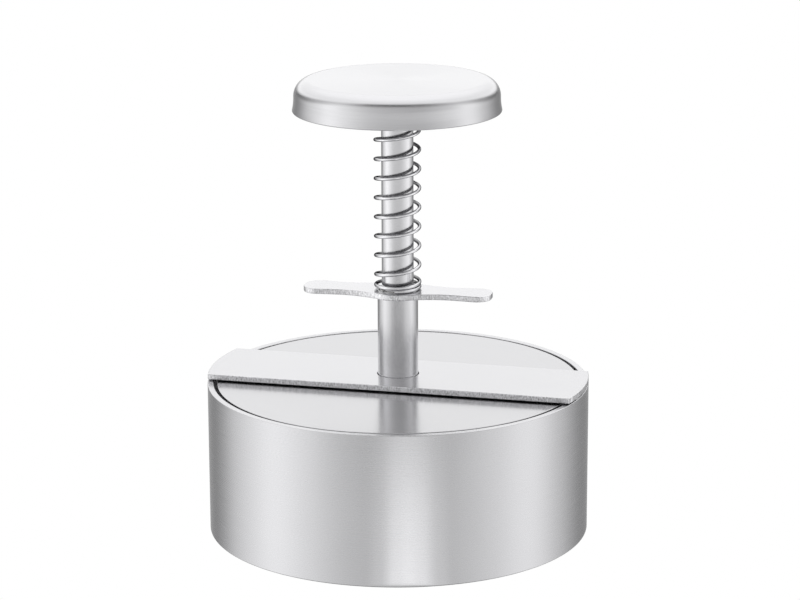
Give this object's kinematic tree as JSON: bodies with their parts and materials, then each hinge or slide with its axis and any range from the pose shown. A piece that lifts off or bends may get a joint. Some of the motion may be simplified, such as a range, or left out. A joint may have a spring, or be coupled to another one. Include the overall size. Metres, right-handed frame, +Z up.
{
  "type": "patty press",
  "caption": "Round stainless mould ring with a welded cross bar, guide sleeve and finger grip; a sprung palm knob pushes a rod and a round press plate down.",
  "frame": {"origin": "centre of the mould ring's lower edge, which is the bottom centre of the whole press", "axes": "+Z up along the push rod, +X along the cross bar, +Y across it"},
  "size_m": [0.12, 0.12, 0.1437],
  "materials": {
    "ring_steel": "fine brushing around the ring",
    "bar_steel": "brushed along the bar, sawn edges",
    "sleeve_steel": "fine satin drawn tube",
    "grip_steel": "satin, bright deburred edges",
    "rod_steel": "fine satin turned bar",
    "knob_steel": "satin, brushed around the side",
    "plate_steel": "bright satin",
    "hub_steel": "turned",
    "washer_steel": "pressed, satin",
    "screw_steel": "turned and pressed stainless screw",
    "spring_wire": "bright drawn spring wire",
    "bush_plastic": "off-white slide plastic",
    "stop_rubber": "dark food-grade silicone"
  },
  "bodies": {
    "press_frame": {"mould_ring": "ring_steel", "cross_bar": "bar_steel", "guide_sleeve": "sleeve_steel", "upper_guide_bush": "bush_plastic", "lower_guide_bush": "bush_plastic", "finger_grip": "grip_steel", "return_spring": "spring_wire"},
    "spring_seat": {"spring_washer": "washer_steel"},
    "plunger": {"push_rod": "rod_steel", "knob_shell": "knob_steel", "knob_hub": "hub_steel", "press_plate": "plate_steel", "plate_screw": "screw_steel", "stop_washer": "stop_rubber"}
  },
  "joints": [
    {"name": "press_stroke", "type": "slide", "parent": "press_frame", "child": "spring_seat", "axis": [0, 0, -1], "range_m": [0, 0.04], "stiffness_N_per_m": 550, "springref_m": -0.012, "deforming": ["return_spring"]},
    {"name": "plunger_spin", "type": "hinge", "parent": "spring_seat", "child": "plunger", "pos_m": [0, 0, 0.134], "axis": [0, 0, 1], "continuous": true}
  ]
}
